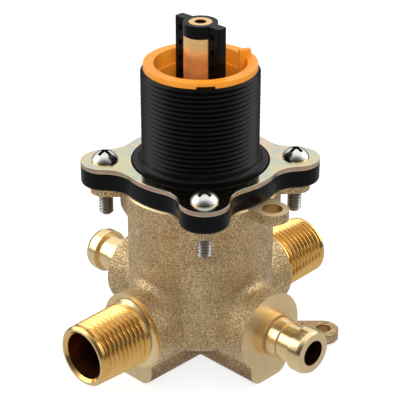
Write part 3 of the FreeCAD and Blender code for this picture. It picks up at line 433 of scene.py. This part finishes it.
# Each row: light tone, dark tone, range of roughness and, where it isn't the usual one, the specular level
PLASTICS = {
    "black_plastic": ((0.0026, 0.0026, 0.0028), (0.0018, 0.0018, 0.0019), (0.24, 0.32), 0.13),
    "orange_plastic": ((1.00, 0.375, 0.030), (0.97, 0.335, 0.025), (0.30, 0.38), 0.35),
    "seal_rubber": ((0.020, 0.020, 0.020), (0.012, 0.012, 0.012), (0.55, 0.70)),
    "cartridge_plastic": ((0.70, 0.70, 0.67), (0.64, 0.64, 0.61), (0.30, 0.42)),
    "disc_ceramic": ((0.84, 0.83, 0.80), (0.79, 0.78, 0.75), (0.16, 0.24)),
}

MATERIALS = {
    # Cast brass with painted shade towards the floor, and a copy without it
    "cast_brass": sand_cast_brass("sand_cast_brass", with_painted_shade=True),
    "cast_brass_without_painted_shade": sand_cast_brass("cast_brass_without_painted_shade", with_painted_shade=False),
    "plated_steel": yellow_zinc(),
    **{name: machined_metal(name, *finish) for name, finish in METALS.items()},
    **{name: satin_plastic(name, *finish) for name, finish in PLASTICS.items()},
}


def paint(mesh, finishes, choose):
    """Gives each face one of the named finishes, and returns their materials in order."""
    for face in mesh.faces:
        face.material_index = finishes.index(choose(face))
    return [MATERIALS[finish] for finish in finishes]


# Casting

def port_finish(face, axis, face_station, bore, turned):
    """Finish of a face at a port, or nothing where the face lies behind the port's machined front."""
    reach = max((vert.co - Vector((0, 0, PORT_HEIGHT))).cross(axis).length for vert in face.verts)
    station = abs(middle(face).dot(axis))
    # Bores get the darker brass as painted shade
    if reach < bore + NEAR:
        return "bore_brass_painted_shade"
    if station < face_station - NEAR or reach > PORT_REACH:
        return None
    if abs(face.normal.dot(axis)) > SQUARE_ON:
        return "faced_brass"
    return turned if station > PIPE_START else "barb_brass"


def in_ear_hole(place):
    upper = Vector((EAR_CIRCLE * math.cos(HEAD_TURN), EAR_CIRCLE * math.sin(HEAD_TURN)))
    holes = [(upper, EAR_HOLE), (-upper, EAR_HOLE), (LOWER_EAR.xy, LOWER_EAR_HOLE)]
    return any((place.xy - centre).length < radius + NEAR for centre, radius in holes)


def casting_finish(face):
    """Finish of a face of the casting: machined at the ports, the top, the cavity and the holes."""
    place = middle(face)
    outlet = port_finish(face, Vector((0, 1, 0)), OUTLET_FACE, SOCKET_RADIUS, "turned_brass")
    inlet = port_finish(face, Vector((1, 0, 0)), INLET_FACE, INLET_BORE, "barb_brass")
    if outlet or inlet:
        return outlet or inlet
    on_rim = RIM_RADIUS - RIM_EDGE - NEAR < place.xy.length < RIM_RADIUS - NEAR
    if place.z > RIM_TOP - NEAR or (on_rim and place.z > RIM_TOP - RIM_EDGE):
        return "faced_brass"
    if place.xy.length < CAVITY_RADIUS and place.z > CAVITY_FLOOR:
        return "turned_brass"
    # Ear hole walls get the darker brass as painted shade
    if in_ear_hole(place) and abs(face.normal.z) < UPRIGHT:
        return "bore_brass_painted_shade"
    # The lower ear gets the cast brass without the painted shade at the feet
    on_lower_ear = (place.xy - LOWER_EAR.xy).length < LOWER_EAR_REACH
    if on_lower_ear and abs(place.z - LOWER_EAR.z) < LOWER_EAR_HALF + NEAR:
        return "cast_brass_without_painted_shade"
    return "cast_brass"


def casting():
    mesh = welded_copy("valve_body")
    as_cast = ["cast_brass", "cast_brass_without_painted_shade"]
    machined = ["turned_brass", "barb_brass", "faced_brass", "bore_brass_painted_shade"]
    finishes = paint(mesh, as_cast + machined, casting_finish)
    round_edges(
        mesh, CAST_ROUND,
        chosen=lambda edge: all(face.material_index < len(as_cast) for face in edge.link_faces),
    )
    start = PIPE_START + PIPE_CREST
    end = PIPE_START + PIPE_PITCH * PIPE_TURNS
    for side in (1, -1):
        axis = Matrix.Translation((0, 0, PORT_HEIGHT)) @ Matrix.Rotation(-side * math.pi / 2, 4, "X")
        cut_thread(mesh, axis, start, end, PIPE_WALL, PIPE_PITCH, PIPE_DEPTH, PIPE_COLUMNS)
    make_piece("casting", mesh, "valve", finishes, "valve_body")


# Screws

def screw_axes():
    for number in range(SCREW_COUNT):
        angle = SCREW_ANGLE + 2 * math.pi * number / SCREW_COUNT
        yield Vector((SCREW_CIRCLE * math.cos(angle), SCREW_CIRCLE * math.sin(angle), 0))


def screw_finish(face):
    """Finish of a face of the screws: the recess is what lies below the head's dome, and gets darker steel
    as painted shade.
    """
    place = middle(face)
    if place.z < PLATE_TOP:
        return "screw_shank"
    off_axis = min((place.xy - axis.xy).length for axis in screw_axes())
    if off_axis > RECESS_REACH:
        return "screw_steel"
    dome = SCREW_TOP - DOME_RADIUS + math.sqrt(DOME_RADIUS ** 2 - off_axis ** 2)
    return "screw_recess" if place.z < dome - RECESS_LIP else "screw_steel"


def screws():
    mesh = welded_copy("cover_screws")
    finishes = paint(mesh, ["screw_steel", "screw_shank", "screw_recess"], screw_finish)
    start = SCREW_TIP + SCREW_POINT
    for place in screw_axes():
        axis = Matrix.Translation(place)
        cut_thread(mesh, axis, start, PLATE_TOP, SCREW_WALL, SCREW_PITCH, SCREW_DEPTH, SCREW_COLUMNS)
    make_piece("screws", mesh, "valve", finishes, "cover_screws")


# Plate

def plate_finish(face):
    return "plate_edge" if abs(face.normal.z) < UPRIGHT else "plated_steel"


def plate():
    mesh = welded_copy("retainer_plate")
    finishes = paint(mesh, ["plated_steel", "plate_edge"], plate_finish)
    round_edges(mesh, PLATE_ROUND)
    make_piece("clamping_plate", mesh, "valve", finishes, "retainer_plate")


# Stem

def stem_finish(face):
    # The handle screw hole gets the darker brass as painted shade
    reach = max(vert.co.xy.length for vert in face.verts)
    return "bore_brass_painted_shade" if reach < STEM_HOLE + NEAR else "stem_brass"


def stem():
    mesh = welded_copy("stem_core")
    finishes = paint(mesh, ["stem_brass", "bore_brass_painted_shade"], stem_finish)
    round_edges(mesh, STEM_ROUND)
    make_piece("brass_stem", mesh, "stem", finishes, "stem_core")


# Mouldings, which keep their solid's form and get rounded edges

def moulding(name, node, body, slot, width):
    mesh = welded_copy(node)
    round_edges(mesh, width)
    make_piece(name, mesh, body, [MATERIALS[slot]], node)


casting()
screws()
plate()
stem()
moulding("stop_ring", "limit_ring", "valve", "orange_plastic", RING_ROUND)
moulding("sleeve", "bonnet", "valve", "black_plastic", SLEEVE_ROUND)
moulding("stem_moulding", "stem_wings", "stem", "black_plastic", MOULDING_ROUND)

# Finishes of the pieces inside

INNER = {
    "seal_rubber": ["cold_inlet_seal", "hot_inlet_seal", "outlet_seal", "housing_o_ring", "disc_gasket",
                    "lower_stem_o_ring", "upper_stem_o_ring"],
    "cartridge_plastic": ["cartridge_housing", "cold_sleeve_plug", "hot_sleeve_plug", "disc_carrier",
                          "thrust_washer", "cartridge_cap"],
    "balance_steel": ["balance_sleeve", "balance_spool"],
    "disc_ceramic": ["fixed_disc", "moving_disc"],
}
for finish, members in INNER.items():
    for member in members:
        nodes[member].data.materials.clear()
        nodes[member].data.materials.append(MATERIALS[finish])


# Floor, light and camera

def make_glow(shader, strength):
    """Takes the gloss off a surface and lets it shine evenly white."""
    shader.inputs["Specular IOR Level"].default_value = 0.0
    shader.inputs["Emission Color"].default_value = WHITE
    shader.inputs["Emission Strength"].default_value = strength


def floor():
    """A pale floor, which shows the part's shadow, and neither lights the part nor shows in it."""
    corners = [(x * FLOOR_HALF, y * FLOOR_HALF, 0) for x, y in ((-1, -1), (1, -1), (1, 1), (-1, 1))]
    mesh = bpy.data.meshes.new("floor")
    mesh.from_pydata(corners, [], [(0, 1, 2, 3)])
    material, tree, shader, place = new_material("floor_white")
    tone = noise(tree, place, 0.4, 2)
    tree.links.new(vary(tree, tone, 0.38, 0.40), shader.inputs["Base Color"])
    shader.inputs["Roughness"].default_value = 0.8
    make_glow(shader, 0.75)
    mesh.materials.append(material)
    plane = bpy.data.objects.new("floor", mesh)
    scene.collection.objects.link(plane)
    plane.visible_diffuse = False
    plane.visible_glossy = False


def backdrop():
    """A white wall round the floor, which neither lights the part nor shows in it."""
    wall = bmesh.new()
    bmesh.ops.create_cone(
        wall, segments=WALL_SEGMENTS, radius1=WALL_RADIUS, radius2=WALL_RADIUS, depth=WALL_HEIGHT,
    )
    mesh = bpy.data.meshes.new("backdrop")
    wall.to_mesh(mesh)
    wall.free()
    material, _, shader, _ = new_material("backdrop_white")
    shader.inputs["Base Color"].default_value = BLACK
    make_glow(shader, 1.0)
    mesh.materials.append(material)
    around = bpy.data.objects.new("backdrop", mesh)
    scene.collection.objects.link(around)
    around.visible_diffuse = False
    around.visible_glossy = False
    around.visible_transmission = False
    around.visible_shadow = False


def area_light(name, place, size, power, mirrored=True):
    """A soft box that faces the part, and is mirrored in it or not."""
    light = bpy.data.lights.new(name, "AREA")
    light.shape = "RECTANGLE"
    light.size, light.size_y = size
    light.energy = power
    lamp = bpy.data.objects.new(name, light)
    lamp.location = place
    lamp.rotation_mode = "QUATERNION"
    lamp.rotation_quaternion = (Vector(place) - LIGHT_TARGET).to_track_quat("Z", "Y")
    lamp.visible_glossy = mirrored
    scene.collection.objects.link(lamp)


def studio_sky():
    """A white tent over a white table, dark round the horizon and at the front above it."""
    world = bpy.data.worlds.new("studio")
    world.use_nodes = True
    scene.world = world
    tree = world.node_tree
    direction = tree.nodes.new("ShaderNodeTexCoord").outputs["Generated"]

    def along(axis):
        """How far the direction points along an axis, from 0 for away to 1 for straight along."""
        dot = tree.nodes.new("ShaderNodeVectorMath")
        dot.operation = "DOT_PRODUCT"
        dot.inputs[1].default_value = axis
        tree.links.new(direction, dot.inputs[0])
        span = tree.nodes.new("ShaderNodeMapRange")
        span.inputs["From Min"].default_value = -1.0
        tree.links.new(dot.outputs["Value"], span.inputs["Value"])
        return span.outputs["Result"]

    upward = along((0, 0, 1))
    tent = ramp(tree, upward, [
        (0.00, 0.65),
        (0.42, 0.52),
        (0.50, 0.03),
        (0.54, 0.03),
        (0.64, 0.85),
        (0.80, 1.00),
        (1.00, 1.10),
    ])
    front = (math.sin(AZIMUTH), -math.cos(AZIMUTH), 0)
    gap = ramp(tree, along(front), [(0.60, 1.0), (0.84, 0.08)])
    above = ramp(tree, upward, [(0.48, 0.0), (0.50, 1.0)])
    shade = mix(tree, above, WHITE, gap)
    sky = mix(tree, 1.0, tent, shade, "MULTIPLY")
    tree.links.new(sky, tree.nodes["Background"].inputs["Color"])


def camera():
    """The photograph's camera: its direction from the part, its distance and its lens."""
    back = Vector((
        math.sin(AZIMUTH) * math.cos(ELEVATION),
        -math.cos(AZIMUTH) * math.cos(ELEVATION),
        math.sin(ELEVATION),
    ))
    data = bpy.data.cameras.new("camera")
    data.lens = LENS_MM
    data.sensor_width = SENSOR_MM
    data.clip_start = CLIP_START
    view = bpy.data.objects.new("camera", data)
    view.location = TARGET + back * DISTANCE
    view.rotation_mode = "QUATERNION"
    view.rotation_quaternion = back.to_track_quat("Z", "Y")
    scene.collection.objects.link(view)
    scene.camera = view


floor()
backdrop()
studio_sky()
area_light("left_box", place=(-0.75, -0.52, 0.46), size=(0.80, 0.85), power=3.7)
area_light("right_box", place=(0.37, 0.79, 0.55), size=(0.70, 0.80), power=2.6)
area_light("front_fill", place=(0.75, -0.75, 0.60), size=(1.0, 1.0), power=9.0, mirrored=False)
camera()
scene.view_settings.view_transform = "Standard"
